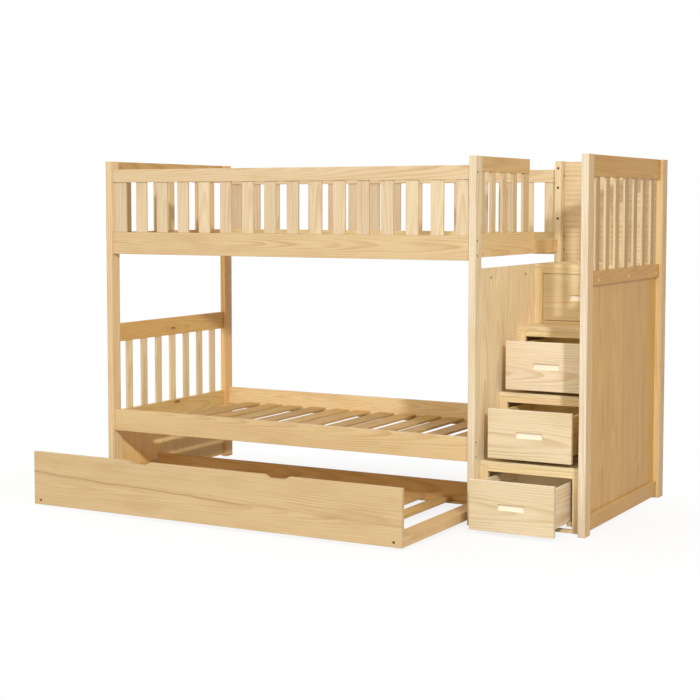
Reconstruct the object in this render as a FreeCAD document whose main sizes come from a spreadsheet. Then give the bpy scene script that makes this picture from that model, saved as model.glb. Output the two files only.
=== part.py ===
import FreeCAD, Part
import os
import re

# Twin over twin bunk bed with a stair of four drawers and a rolling trundle, in millimetres.
# X runs along the bed towards the stair, Y from the front to the back, Z up from the floor.

doc = FreeCAD.newDocument("BunkBed")
sheet = doc.addObject("Spreadsheet::Sheet", "Sizes")

sizes = {
    # posts and overall size
    "postWide": 33.0,           # along the bed
    "postDeep": 65.0,           # front to back
    "postTall": 1615.0,
    "mattressLong": 1905.0,     # twin mattress
    "mattressPlay": 26.5,       # spare length between the end frames
    "stairClear": 478.0,        # clear width between middle and right posts
    "bedDeep": 1082.0,
    "edgeRound": 2.0,           # eased edges of thick boards
    "thinRound": 1.2,           # eased edges of slats and drawers
    # side rails and guards
    "railThick": 22.0,
    "railRecess": 10.5,         # set back from the faces of the posts
    "sideRailHigh": 107.5,
    "lowerRailBase": 279.0,
    "upperRailBase": 1160.0,
    "guardRailHigh": 62.5,
    "guardRailDrop": 40.5,      # its top below the tops of the posts
    "slatThick": 12.0,
    "guardSlatWide": 63.0,
    "guardSlatMany": 14,
    "guardStileLeft": 80.0,
    "guardStileRight": 68.0,
    # decks
    "ledgerSide": 20.0,
    "deckSlatWide": 88.0,
    "deckSlatThick": 12.0,
    "deckSlatMany": 13,
    "deckEndGap": 107.0,
    "deckNudge": 9.0,           # the slats lie a little off their even pitch
    # end frames
    "endRailThick": 19.0,
    "endTopHigh": 93.0,
    "endSlatWide": 48.0,
    "endSlatMany": 7,
    "headRailBase": 718.0,
    "headRailHigh": 91.0,
    "deckRailDrop": 14.5,       # its top below the top of a side rail
    "baseRailLift": 12.0,
    "baseRailHigh": 68.0,
    # guard beside the stair
    "entryTopHigh": 67.5,
    "entryReach": 647.0,        # rear edge of the short guard
    "entryStileWide": 70.0,
    "entrySlatMany": 3,
    "entryRailLift": 12.5,      # its bottom above the bottom of an upper side rail
    "entryRailHigh": 103.5,
    "entryNotchFrom": 712.0,
    "entryNotchDeep": 39.0,
    # stair carcass
    "panelThick": 13.0,
    "panelInset": 9.5,          # right panel set inwards from its posts
    "middleRailHigh": 61.5,
    "panelDrop": 2.5,           # right panel's top below the landing
    "stepRise": 281.25,
    "stepRun": 209.0,
    "firstRiser": 62.0,
    "frameThick": 20.0,
    "stileWide": 39.0,
    "frameTopHigh": 25.0,
    "frameBottomHigh": 15.0,
    "treadThick": 20.0,
    "backThick": 6.0,
    "backGuardThick": 16.0,
    "backGuardDrop": 3.0,       # its top below the tops of the posts
    "backSetIn": 20.0,          # back face of the stair in front of the posts' rear faces
    "runnerWide": 30.0,
    "runnerHigh": 20.0,
    "runnerGap": 0.5,           # clearance under a drawer
    # drawers
    "frontGap": 2.0,
    "frontThick": 18.0,
    "boxLift": 28.0,            # box bottom above the bottom of its front
    "boxTopDrop": 19.25,        # box top below the top of its front
    "boxInset": 14.0,           # box side in from the end of its front
    "boxSide": 12.0,
    "boxFloor": 6.0,
    "boxFloorLift": 8.0,
    "boxPlay": 104.0,           # clear behind the third box when it is shut
    "topBoxPlay": 20.0,
    "openFirst": 207.0,
    "openSecond": 220.0,
    "openThird": 235.0,
    "gripWide": 120.0,
    "gripHigh": 27.0,
    "gripDeep": 12.0,
    "gripLip": 1.5,
    # trundle
    "trundlePlay": 9.75,        # between an end of the trundle and a post
    "trundleSpare": 92.0,       # bed's depth left over by the trundle
    "trundleOpen": 612.0,       # front face ahead of the posts at rest
    "trundleLift": 16.0,
    "trundleTopGap": 17.0,      # between its front and a lower side rail
    "trundleRearHigh": 100.0,
    "trundleThick": 20.0,
    "trundleEndWide": 75.0,
    "trundleEndHigh": 42.0,
    "trundleLedgerWide": 20.0,
    "trundleLedgerHigh": 10.0,
    "trundleSlatWide": 64.0,
    "trundleSlatThick": 18.0,
    "trundleSlatMany": 11,
    "trundleEndGap": 155.0,
    "notchTop": 125.0,
    "notchFloor": 75.0,
    "notchDeep": 14.0,
    "notchReach": 361.0,        # from the middle of the board
    # wheels
    "wheelRadius": 22.0,
    "wheelWide": 18.0,
    "wheelInset": 78.0,         # from the trundle's front and rear faces
    "wheelRound": 3.0,
    "axleRadius": 4.0,
    "axlePlay": 0.06,
    "wheelGap": 1.5,
    "plateThick": 3.0,
    "plateWide": 60.0,
    "plateRise": 34.0,
    "plateLift": 2.0,           # above the bottom of the end rail
    "hubRadius": 7.0,
    "hubThick": 3.0,
    # bolt heads
    "boltRadius": 6.5,
    "boltPlay": 0.1,
    "boltHoleDeep": 6.0,
    "boltHeadThick": 4.0,
    "capRadius": 6.0,
    "capThick": 1.2,
    "capFirst": 106.0,          # from the inner face of the front post
    "capLast": 46.0,            # from the inner face of the rear post
    "capDrop": 10.0,            # below the middle line of the rail
    "railBoltInset": 21.0,      # from the top and bottom edges of a side rail
    "plugDropFirst": 280.0,     # from the top of the rear middle post
    "plugDropSecond": 130.0,
    "plugDropThird": 35.0,
}

derived = {
    "innerLong": "mattressLong + mattressPlay",
    "totalLong": "postWide * 3 + innerLong + stairClear",
    "shiftX": "-totalLong / 2",
    "shiftY": "-(bedDeep - trundleOpen) / 2",
    "middleX": "postWide + innerLong",
    "stairX": "middleX + postWide",
    "rightX": "stairX + stairClear",
    "rearPostY": "bedDeep - postDeep",
    "endSpan": "bedDeep - postDeep * 2",
    "rearRailY": "bedDeep - railRecess - railThick",
    "upperRailTop": "upperRailBase + sideRailHigh",
    "guardRailBase": "postTall - guardRailDrop - guardRailHigh",
    "guardGap": "(innerLong - guardStileLeft - guardStileRight - guardSlatMany * guardSlatWide)"
                " / (guardSlatMany + 1)",
    "guardSlatHigh": "guardRailBase - upperRailTop",
    "guardSlatInset": "(railThick - slatThick) / 2",
    "deckSlatPitch": "(innerLong - deckEndGap * 2 - deckSlatWide) / (deckSlatMany - 1)",
    "deckSlatLong": "bedDeep - (railRecess + railThick) * 2",
    "endTopBase": "postTall - endTopHigh",
    "endSlatGap": "(endSpan - endSlatMany * endSlatWide) / (endSlatMany + 1)",
    "endSlatInset": "(endRailThick - slatThick) / 2",
    "deckRailHigh": "sideRailHigh - deckRailDrop",
    "entryRailBase": "upperRailBase + entryRailLift",
    "entryRailTop": "entryRailBase + entryRailHigh",
    "entryTopBase": "postTall - entryTopHigh",
    "entryGap": "(entryReach - postDeep - entryStileWide * 2 - entrySlatMany * endSlatWide)"
                " / (entrySlatMany + 1)",
    "rightPanelX": "rightX - panelInset",
    "rightFaceX": "rightPanelX + panelThick",
    "stairWide": "rightPanelX - stairX",
    "landingHigh": "stepRise * 4",
    "rightPanelTop": "landingHigh - panelDrop",
    "capPitch": "(endSpan - capFirst - capLast) / 2",
    "openingWide": "stairWide - stileWide * 2",
    "openingHigh": "stepRise - treadThick - frameTopHigh - frameBottomHigh",
    "backY": "bedDeep - backSetIn",
    "frontWide": "openingWide - frontGap * 2",
    "frontHigh": "openingHigh - frontGap * 2",
    "frontX": "stairX + stileWide + frontGap",
    "boxHigh": "frontHigh - boxLift - boxTopDrop",
    "boxDeep": "backY - firstRiser - stepRun * 2 - frontThick - boxPlay",
    "topBoxDeep": "backY - firstRiser - stepRun * 3 - frontThick - topBoxPlay",
    "boxX": "frontX + boxInset",
    "boxWide": "frontWide - boxInset * 2",
    "trundleLong": "innerLong - trundlePlay * 2",
    "trundleDeep": "bedDeep - trundleSpare",
    "trundleFrontHigh": "lowerRailBase - trundleLift - trundleTopGap",
    "trundleX": "postWide + trundlePlay",
    "trundleRearY": "trundleDeep - trundleOpen - trundleThick",
    "trundleSlatPitch": "(trundleLong - trundleEndWide * 2 - trundleEndGap * 2 - trundleSlatWide)"
                        " / (trundleSlatMany - 1)",
    "trundleLedgerTop": "trundleLift + trundleLedgerHigh",
}


def fillSheet():
    row = 1
    for name, value in sizes.items():
        sheet.set("A%d" % row, name)
        sheet.set("B%d" % row, str(value))
        sheet.setAlias("B%d" % row, name)
        row += 1
    doc.recompute()
    for name, formula in derived.items():
        sheet.set("A%d" % row, name)
        sheet.set("B%d" % row, "=" + formula)
        sheet.setAlias("B%d" % row, name)
        row += 1
        doc.recompute()


def bound(text):
    """Point every size name in an expression at the sheet."""
    return re.sub(r"([A-Za-z]\w+)", r"Sizes.\1", text)


def place(item, spot):
    """Bind an object's position, counted from the floor point under the middle of the bed."""
    item.setExpression("Placement.Base.x", bound("shiftX + " + spot[0]))
    item.setExpression("Placement.Base.y", bound("shiftY + " + spot[1]))
    item.setExpression("Placement.Base.z", bound(spot[2]))


def board(name, spot, size, rounding="edgeRound", many=None, pitch=None, along="X"):
    """A board with eased edges, or an even row of them."""
    body = doc.addObject("PartDesign::Body", name)
    body.AllowCompound = True
    block = body.newObject("PartDesign::AdditiveBox", name + "_block")
    block.setExpression("Length", bound(size[0]))
    block.setExpression("Width", bound(size[1]))
    block.setExpression("Height", bound(size[2]))
    doc.recompute()
    eased = body.newObject("PartDesign::Fillet", name + "_eased")
    eased.Base = (block, [""])
    eased.UseAllEdges = True
    eased.setExpression("Radius", bound(rounding))
    body.Tip = eased
    doc.recompute()
    if many:
        row = body.newObject("PartDesign::LinearPattern", name + "_row")
        role = along + "_Axis"
        axis = [item for item in body.Origin.OriginFeatures if item.Role == role][0]
        row.Direction = (axis, [""])
        row.TransformMode = "Whole shape"
        row.Originals = []
        row.Mode = "Spacing"
        row.setExpression("Offset", bound(pitch))
        body.Tip = row
        row.setExpression("Occurrences", bound(many))
    place(body, spot)
    return body


def cylinder(name, spot, radius, length, along):
    """A round bar whose axis points along +X or +Y."""
    item = doc.addObject("Part::Cylinder", name)
    item.setExpression("Radius", bound(radius))
    item.setExpression("Height", bound(length))
    if along == "X":
        turn = FreeCAD.Rotation(FreeCAD.Vector(0, 1, 0), 90)
    else:
        turn = FreeCAD.Rotation(FreeCAD.Vector(1, 0, 0), -90)
    item.Placement = FreeCAD.Placement(FreeCAD.Vector(0, 0, 0), turn)
    place(item, spot)
    return item


def wedge(name, spot, low, high, tall, near, far):
    """A tapered block: low and high are (half width, depth) at its bottom and at its top."""
    item = doc.addObject("Part::Wedge", name)
    values = {
        "Xmin": "-(%s)" % low[0], "Xmax": low[0], "Zmin": "-(%s)" % low[1], "Zmax": near,
        "X2min": "-(%s)" % high[0], "X2max": high[0], "Z2min": "-(%s)" % high[1], "Z2max": near,
        "Ymin": "0", "Ymax": tall,
    }
    for key, text in values.items():
        item.setExpression(key, bound(text))
    turn = FreeCAD.Rotation(FreeCAD.Vector(1, 0, 0), 90)
    item.Placement = FreeCAD.Placement(FreeCAD.Vector(0, 0, 0), turn)
    place(item, spot)
    return item


def group(name, members):
    item = doc.addObject("Part::Compound", name)
    item.Links = members
    return item


def cutFrom(name, base, tools):
    """Cut holes or notches out of a piece."""
    item = doc.addObject("Part::Cut", name)
    item.Base = base
    item.Tool = tools[0] if len(tools) == 1 else group(name + "_tools", tools)
    return item


nodes = []


def keep(name, item):
    item.Label = name
    nodes.append(item)


def makeBoard(name, spot, size, rounding="edgeRound", many=None, pitch=None, along="X"):
    keep(name, board(name + "_body", spot, size, rounding, many, pitch, along))


fillSheet()

# Posts, with sunk bolt heads where the side rails meet them.
railBoltHeights = [
    "guardRailBase + guardRailHigh / 2",
    "upperRailBase + railBoltInset",
    "upperRailBase + sideRailHigh - railBoltInset",
    "lowerRailBase + railBoltInset",
    "lowerRailBase + sideRailHigh - railBoltInset",
]
plugHeights = ["postTall - plugDropFirst", "postTall - plugDropSecond", "postTall - plugDropThird"]
boltHeads = []


def sideBolts(name, rowY, faceX, outward):
    """Sunk bolt heads in the face of a post; outward is -1 on a left face and 1 on a right face."""
    holes = []
    for step, height in enumerate(railBoltHeights):
        tag = "%s_%d" % (name, step)
        if outward < 0:
            holeX = faceX + " - 1"
            headX = faceX + " + boltHoleDeep - boltHeadThick"
        else:
            holeX = faceX + " - boltHoleDeep"
            headX = holeX
        holes.append(cylinder(tag + "_hole", (holeX, rowY, height), "boltRadius + boltPlay",
                              "boltHoleDeep + 1", "X"))
        boltHeads.append(cylinder(tag + "_head", (headX, rowY, height), "boltRadius",
                                  "boltHeadThick", "X"))
    return holes


def plugBolts(name, rowX, faceY):
    """Sunk heads in the front face of the rear middle post."""
    holes = []
    for step, height in enumerate(plugHeights):
        tag = "%s_plug_%d" % (name, step)
        holes.append(cylinder(tag + "_hole", (rowX, faceY + " - 1", height),
                              "boltRadius + boltPlay", "boltHoleDeep + 1", "Y"))
        boltHeads.append(cylinder(tag + "_head",
                                  (rowX, faceY + " + boltHoleDeep - boltHeadThick", height),
                                  "boltRadius", "boltHeadThick", "Y"))
    return holes


frontBoltY = "railRecess + railThick / 2"
rearBoltY = "rearRailY + railThick / 2"
postRows = [
    ("left_front", "0", "0", frontBoltY, "0", -1),
    ("left_rear", "0", "rearPostY", rearBoltY, "0", -1),
    ("middle_front", "middleX", "0", frontBoltY, "stairX", 1),
    ("middle_rear", "middleX", "rearPostY", rearBoltY, "stairX", 1),
    ("right_front", "rightX", "0", None, None, 0),
    ("right_rear", "rightX", "rearPostY", None, None, 0),
]
for tag, postX, postY, boltY, faceX, outward in postRows:
    name = "post_" + tag
    blank = board(name + "_blank", (postX, postY, "0"), ("postWide", "postDeep", "postTall"))
    if outward == 0:
        keep(name, blank)
        continue
    holes = sideBolts(name, boltY, faceX, outward)
    if tag == "middle_rear":
        holes += plugBolts(name, "middleX + postWide / 2", "rearPostY")
    keep(name, cutFrom(name + "_cut", blank, holes))

# Left end frame.
endY = "postDeep"
makeBoard("left_top_rail", ("0", endY, "endTopBase"), ("endRailThick", "endSpan", "endTopHigh"))
makeBoard("left_upper_slats", ("endSlatInset", endY + " + endSlatGap", "upperRailTop"),
          ("slatThick", "endSlatWide", "endTopBase - upperRailTop"), "thinRound",
          "endSlatMany", "endSlatWide + endSlatGap", "Y")
makeBoard("left_upper_rail", ("0", endY, "upperRailBase"),
          ("endRailThick", "endSpan", "sideRailHigh"))
makeBoard("left_head_rail", ("0", endY, "headRailBase"), ("endRailThick", "endSpan", "headRailHigh"))
makeBoard("left_lower_slats", ("endSlatInset", endY + " + endSlatGap", "lowerRailBase + deckRailHigh"),
          ("slatThick", "endSlatWide", "headRailBase - lowerRailBase - deckRailHigh"), "thinRound",
          "endSlatMany", "endSlatWide + endSlatGap", "Y")
makeBoard("left_deck_rail", ("0", endY, "lowerRailBase"), ("endRailThick", "endSpan", "deckRailHigh"))
makeBoard("left_base_panel", ("endSlatInset", endY, "baseRailLift + baseRailHigh"),
          ("slatThick", "endSpan", "lowerRailBase - baseRailLift - baseRailHigh"), "thinRound")
makeBoard("left_base_rail", ("0", endY, "baseRailLift"), ("endRailThick", "endSpan", "baseRailHigh"))

# Long side rails and guards, front and rear.
for side, railY in (("front", "railRecess"), ("rear", "rearRailY")):
    makeBoard("side_rail_%s_lower" % side, ("postWide", railY, "lowerRailBase"),
              ("innerLong", "railThick", "sideRailHigh"))
    makeBoard("side_rail_%s_upper" % side, ("postWide", railY, "upperRailBase"),
              ("innerLong", "railThick", "sideRailHigh"))
    makeBoard("guard_%s_top_rail" % side, ("postWide", railY, "guardRailBase"),
              ("innerLong", "railThick", "guardRailHigh"))
    slatY = railY + " + guardSlatInset"
    leftStile = board("guard_%s_left_stile" % side, ("postWide", slatY, "upperRailTop"),
                      ("guardStileLeft", "slatThick", "guardSlatHigh"), "thinRound")
    rightStile = board("guard_%s_right_stile" % side,
                       ("middleX - guardStileRight", slatY, "upperRailTop"),
                       ("guardStileRight", "slatThick", "guardSlatHigh"), "thinRound")
    row = board("guard_%s_row" % side,
                ("postWide + guardStileLeft + guardGap", slatY, "upperRailTop"),
                ("guardSlatWide", "slatThick", "guardSlatHigh"), "thinRound",
                "guardSlatMany", "guardSlatWide + guardGap", "X")
    keep("guard_%s_slats" % side, group("guard_%s_group" % side, [leftStile, row, rightStile]))

# Ledgers and deck slats, which were laid by hand: each is a few nudges along from the even pitch.
nudges = [1, 2, 1, 2, 3, 2, 3, 2, 3, 2, 3, 4, 3]
ledgers = []
for deck, base in (("lower", "lowerRailBase"), ("upper", "upperRailBase")):
    frontLedgerY = "railRecess + railThick"
    rearLedgerY = "rearRailY - ledgerSide"
    for side, ledgerY in (("front", frontLedgerY), ("rear", rearLedgerY)):
        ledgers.append(board("ledger_%s_%s" % (deck, side), ("postWide", ledgerY, base),
                             ("innerLong", "ledgerSide", "ledgerSide"), "thinRound"))
    slats = []
    for count in range(sizes["deckSlatMany"]):
        slatX = "postWide + deckEndGap + deckSlatPitch * %d + deckNudge * %d" % (
            count, nudges[count % len(nudges)])
        slats.append(board("deck_%s_slat_%d" % (deck, count),
                           (slatX, "railRecess + railThick", base + " + ledgerSide"),
                           ("deckSlatWide", "deckSlatLong", "deckSlatThick"), "thinRound"))
    keep("bed_slats_" + deck, group("deck_%s_group" % deck, slats))
keep("slat_ledgers", group("ledger_group", ledgers))

# Guard and panel between the bunks and the stair.
makeBoard("middle_guard_top_rail", ("middleX", endY, "entryTopBase"),
          ("endRailThick", "entryReach - postDeep", "entryTopHigh"))
entrySlatX = "middleX + endSlatInset"
entryHigh = "entryTopBase - entryRailTop"
frontStile = board("entry_front_stile", (entrySlatX, endY, "entryRailTop"),
                   ("slatThick", "entryStileWide", entryHigh), "thinRound")
entryStile = board("entry_end_stile", (entrySlatX, "entryReach - entryStileWide", "entryRailTop"),
                   ("slatThick", "entryStileWide", entryHigh), "thinRound")
entryRow = board("entry_row", (entrySlatX, "postDeep + entryStileWide + entryGap", "entryRailTop"),
                 ("slatThick", "endSlatWide", entryHigh), "thinRound",
                 "entrySlatMany", "endSlatWide + entryGap", "Y")
keep("middle_guard_slats", group("entry_group", [frontStile, entryRow, entryStile]))
entryBlank = board("entry_rail_blank", ("middleX", endY, "entryRailBase"),
                   ("endRailThick", "endSpan", "entryRailHigh"))
entryNotch = doc.addObject("Part::Box", "entry_notch")
entryNotch.setExpression("Length", bound("endRailThick + 20"))
entryNotch.setExpression("Width", bound("rearPostY - entryNotchFrom + 10"))
entryNotch.setExpression("Height", bound("entryNotchDeep + 10"))
place(entryNotch, ("middleX - 10", "entryNotchFrom", "entryRailTop - entryNotchDeep"))
keep("middle_guard_lower_rail", cutFrom("entry_rail_cut", entryBlank, [entryNotch]))
makeBoard("middle_panel", ("stairX - panelThick", endY, "baseRailLift"),
          ("panelThick", "endSpan", "landingHigh - baseRailLift"), "thinRound")

# Right end frame.
railFaceThick = "endRailThick - panelThick + panelInset"
makeBoard("right_top_rail", ("rightX", endY, "endTopBase"), ("endRailThick", "endSpan", "endTopHigh"))
makeBoard("right_slats", ("rightFaceX", endY + " + endSlatGap", "rightPanelTop"),
          ("slatThick", "endSlatWide", "endTopBase - rightPanelTop"), "thinRound",
          "endSlatMany", "endSlatWide + endSlatGap", "Y")
makeBoard("right_middle_rail", ("rightFaceX", endY, "rightPanelTop - middleRailHigh"),
          (railFaceThick, "endSpan", "middleRailHigh"))
makeBoard("right_panel", ("rightPanelX", endY, "baseRailLift"),
          ("panelThick", "endSpan", "rightPanelTop - baseRailLift"), "thinRound")
makeBoard("right_bottom_rail", ("rightFaceX", endY, "baseRailLift"),
          (railFaceThick, "endSpan", "baseRailHigh"))

# Stair: a face frame per drawer, treads, landing, back and drawer runners.
frameBoards = []
treads = []
runners = []
for step in range(4):
    tag = "step_%d" % (step + 1)
    riser = "firstRiser + stepRun * %d" % step
    floor = "stepRise * %d" % step
    frameHigh = "stepRise - treadThick"
    for side, stileX in (("left", "stairX"), ("right", "rightPanelX - stileWide")):
        frameBoards.append(board("%s_%s_stile" % (tag, side), (stileX, riser, floor),
                                 ("stileWide", "frameThick", frameHigh), "thinRound"))
    frameBoards.append(board(tag + "_bottom", ("stairX + stileWide", riser, floor),
                             ("openingWide", "frameThick", "frameBottomHigh"), "thinRound"))
    frameBoards.append(board(tag + "_top",
                             ("stairX + stileWide", riser,
                              floor + " + stepRise - treadThick - frameTopHigh"),
                             ("openingWide", "frameThick", "frameTopHigh"), "thinRound"))
    if step < 3:
        treads.append(board(tag + "_tread", ("stairX", riser, floor + " + stepRise - treadThick"),
                            ("stairWide", "stepRun + frameThick", "treadThick")))
    boxBase = floor + " + frameBottomHigh + frontGap + boxLift"
    runnerZ = boxBase + " - runnerGap - runnerHigh"
    runnerY = riser + " + frameThick"
    runnerLong = "backY - frameThick - firstRiser - stepRun * %d" % step
    for side, runnerX in (("left", "boxX - runnerWide / 2"),
                          ("right", "boxX + boxWide - runnerWide / 2")):
        runners.append(board("%s_%s_runner" % (tag, side), (runnerX, runnerY, runnerZ),
                             ("runnerWide", runnerLong, "runnerHigh"), "thinRound"))
keep("stair_frames", group("stair_frame_group", frameBoards))
keep("stair_treads", group("stair_tread_group", treads))
keep("drawer_runners", group("runner_group", runners))
makeBoard("stair_landing", ("stairX", "firstRiser + stepRun * 3", "landingHigh - treadThick"),
          ("stairWide", "backY - firstRiser - stepRun * 3", "treadThick"))
makeBoard("stair_back_panel", ("stairX", "backY", "baseRailLift"),
          ("stairClear", "backThick", "landingHigh - treadThick - baseRailLift"), "thinRound")
makeBoard("rear_guard_board", ("stairX", "backY", "landingHigh - treadThick"),
          ("stairClear", "backGuardThick", "postTall - backGuardDrop - landingHigh + treadThick"))

# Small fastenings that show.
capHigh = "rightPanelTop - middleRailHigh / 2 - capDrop"
caps = []
for step in range(3):
    capY = "postDeep + capFirst + capPitch * %d" % step
    capX = "rightFaceX + " + railFaceThick
    caps.append(cylinder("cap_right_%d" % step, (capX, capY, capHigh), "capRadius", "capThick", "X"))
    if step < 2:
        caps.append(cylinder("cap_middle_%d" % step, ("stairX", capY, capHigh),
                             "capRadius", "capThick", "X"))
keep("screw_caps", group("cap_group", caps))
keep("frame_bolts", group("bolt_group", boltHeads))

# Drawers: a grooved front and an open box, each standing at its own opening.
drawerRows = [
    ("openFirst", "boxDeep"),
    ("openSecond", "boxDeep"),
    ("openThird", "boxDeep"),
    ("0", "topBoxDeep"),
]
for step, (opening, depth) in enumerate(drawerRows):
    tag = "drawer_%d" % (step + 1)
    frontY = "firstRiser + stepRun * %d - %s" % (step, opening)
    frontZ = "stepRise * %d + frameBottomHigh + frontGap" % step
    blank = board(tag + "_front_blank", ("frontX", frontY, frontZ),
                  ("frontWide", "frontThick", "frontHigh"), "thinRound")
    grip = wedge(tag + "_grip", ("frontX + frontWide / 2", frontY,
                                 frontZ + " + frontHigh / 2 - gripHigh / 2"),
                 ("gripWide / 2", "gripLip"), ("gripWide / 2", "gripDeep"), "gripHigh", "5", None)
    keep(tag + "_front", cutFrom(tag + "_front_cut", blank, [grip]))
    boxY = frontY + " + frontThick"
    boxZ = frontZ + " + boxLift"
    walls = [
        board(tag + "_left_side", ("boxX", boxY, boxZ), ("boxSide", depth, "boxHigh"), "thinRound"),
        board(tag + "_right_side", ("boxX + boxWide - boxSide", boxY, boxZ),
              ("boxSide", depth, "boxHigh"), "thinRound"),
        board(tag + "_back", ("boxX + boxSide", boxY + " + %s - boxSide" % depth, boxZ),
              ("boxWide - boxSide * 2", "boxSide", "boxHigh"), "thinRound"),
        board(tag + "_floor", ("boxX + boxSide", boxY, boxZ + " + boxFloorLift"),
              ("boxWide - boxSide * 2", depth + " - boxSide", "boxFloor"), "thinRound"),
    ]
    keep(tag + "_box", group(tag + "_box_group", walls))

# Trundle: tall front with finger notches, low rear, flat end rails, slats and fixed wheels.
frontBlank = board("trundle_front_blank", ("trundleX", "-trundleOpen", "trundleLift"),
                   ("trundleLong", "trundleThick", "trundleFrontHigh"))
tools = []
for side, sign in (("left", "-"), ("right", "+")):
    middle = "trundleX + trundleLong / 2 %s notchReach" % sign
    tools.append(wedge("notch_" + side,
                       (middle, "-trundleOpen", "trundleLift + trundleFrontHigh - notchDeep"),
                       ("notchFloor / 2", "trundleThick + 5"), ("notchTop / 2", "trundleThick + 5"),
                       "notchDeep", "5", None))
trundleHeads = []
for side, boltX in (("left", "trundleX + trundleEndWide / 2"),
                    ("right", "trundleX + trundleLong - trundleEndWide / 2")):
    boltZ = "trundleLift + trundleEndHigh / 2"
    tools.append(cylinder("trundle_%s_hole" % side, (boltX, "-trundleOpen - 1", boltZ),
                          "boltRadius + boltPlay", "boltHoleDeep + 1", "Y"))
    trundleHeads.append(cylinder("trundle_%s_head" % side,
                                 (boltX, "-trundleOpen + boltHoleDeep - boltHeadThick", boltZ),
                                 "boltRadius", "boltHeadThick", "Y"))
keep("trundle_front", cutFrom("trundle_front_cut", frontBlank, tools))
makeBoard("trundle_rear", ("trundleX", "trundleRearY", "trundleLift"),
          ("trundleLong", "trundleThick", "trundleRearHigh"))
endRails = []
for side, railX in (("left", "trundleX"), ("right", "trundleX + trundleLong - trundleEndWide")):
    endRails.append(board("trundle_%s_end" % side,
                          (railX, "-trundleOpen + trundleThick", "trundleLift"),
                          ("trundleEndWide", "trundleDeep - trundleThick * 2", "trundleEndHigh")))
keep("trundle_end_rails", group("trundle_end_group", endRails))
innerX = "trundleX + trundleEndWide"
strips = []
for side, stripY in (("front", "-trundleOpen + trundleThick"),
                     ("rear", "trundleRearY - trundleLedgerWide")):
    strips.append(board("trundle_%s_ledger" % side, (innerX, stripY, "trundleLift"),
                        ("trundleLong - trundleEndWide * 2", "trundleLedgerWide",
                         "trundleLedgerHigh"), "thinRound"))
keep("trundle_ledgers", group("trundle_ledger_group", strips))
makeBoard("trundle_slats", (innerX + " + trundleEndGap", "-trundleOpen + trundleThick",
                            "trundleLedgerTop"),
          ("trundleSlatWide", "trundleDeep - trundleThick * 2", "trundleSlatThick"), "thinRound",
          "trundleSlatMany", "trundleSlatPitch", "X")


def caster(tag, inward, wheelY):
    """A plate on the inner side of an end rail, an axle through the wheel and a keeper on its end."""
    if inward > 0:
        plateX = "trundleX + trundleEndWide"
        wheelX = plateX + " + plateThick + wheelGap"
        axleX = plateX
        hubX = wheelX + " + wheelWide + wheelGap"
    else:
        plateX = "trundleX + trundleLong - trundleEndWide - plateThick"
        wheelX = plateX + " - wheelGap - wheelWide"
        hubX = wheelX + " - wheelGap - hubThick"
        axleX = hubX
    plate = doc.addObject("Part::Box", tag + "_plate")
    plate.setExpression("Length", bound("plateThick"))
    plate.setExpression("Width", bound("plateWide"))
    plate.setExpression("Height", bound("plateRise"))
    place(plate, (plateX, wheelY + " - plateWide / 2", "trundleLift + plateLift"))
    axleLong = "plateThick + wheelGap * 2 + wheelWide + hubThick"
    axle = cylinder(tag + "_axle", (axleX, wheelY, "wheelRadius"), "axleRadius", axleLong, "X")
    hub = cylinder(tag + "_keeper", (hubX, wheelY, "wheelRadius"), "hubRadius", "hubThick", "X")
    bracket = doc.addObject("Part::MultiFuse", tag + "_bracket")
    bracket.Shapes = [plate, axle, hub]
    tread = cylinder(tag + "_disc", (wheelX, wheelY, "wheelRadius"), "wheelRadius", "wheelWide", "X")
    bore = cylinder(tag + "_bore", (wheelX + " - 1", wheelY, "wheelRadius"),
                    "axleRadius + axlePlay", "wheelWide + 2", "X")
    wheel = cutFrom(tag + "_wheel", tread, [bore])
    return bracket, wheel


brackets = []
wheels = []
frontWheelY = "-trundleOpen + wheelInset"
rearWheelY = "trundleDeep - trundleOpen - wheelInset"
for tag, inward, wheelY in (("caster_1", 1, frontWheelY), ("caster_2", -1, frontWheelY),
                            ("caster_3", 1, rearWheelY), ("caster_4", -1, rearWheelY)):
    bracket, wheel = caster(tag, inward, wheelY)
    brackets.append(bracket)
    wheels.append(wheel)
keep("trundle_fittings", group("trundle_fitting_group", brackets + trundleHeads))
for count, wheel in enumerate(wheels):
    keep("wheel_%d" % (count + 1), wheel)

doc.recompute()

faults = 0
for item in doc.Objects:
    if "Invalid" in item.State or "Error" in item.State:
        print("fault in", item.Name, item.State, item.getStatusString())
        faults += 1
for item in nodes:
    if item.Shape.isNull() or not item.Shape.isValid():
        print("bad shape", item.Label)
        faults += 1
if faults:
    raise SystemExit("%d faults" % faults)

os.makedirs("parts", exist_ok=True)
for item in nodes:
    item.Shape.exportStep("parts/%s.step" % item.Label)
print(len(nodes), "pieces written")
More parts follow.
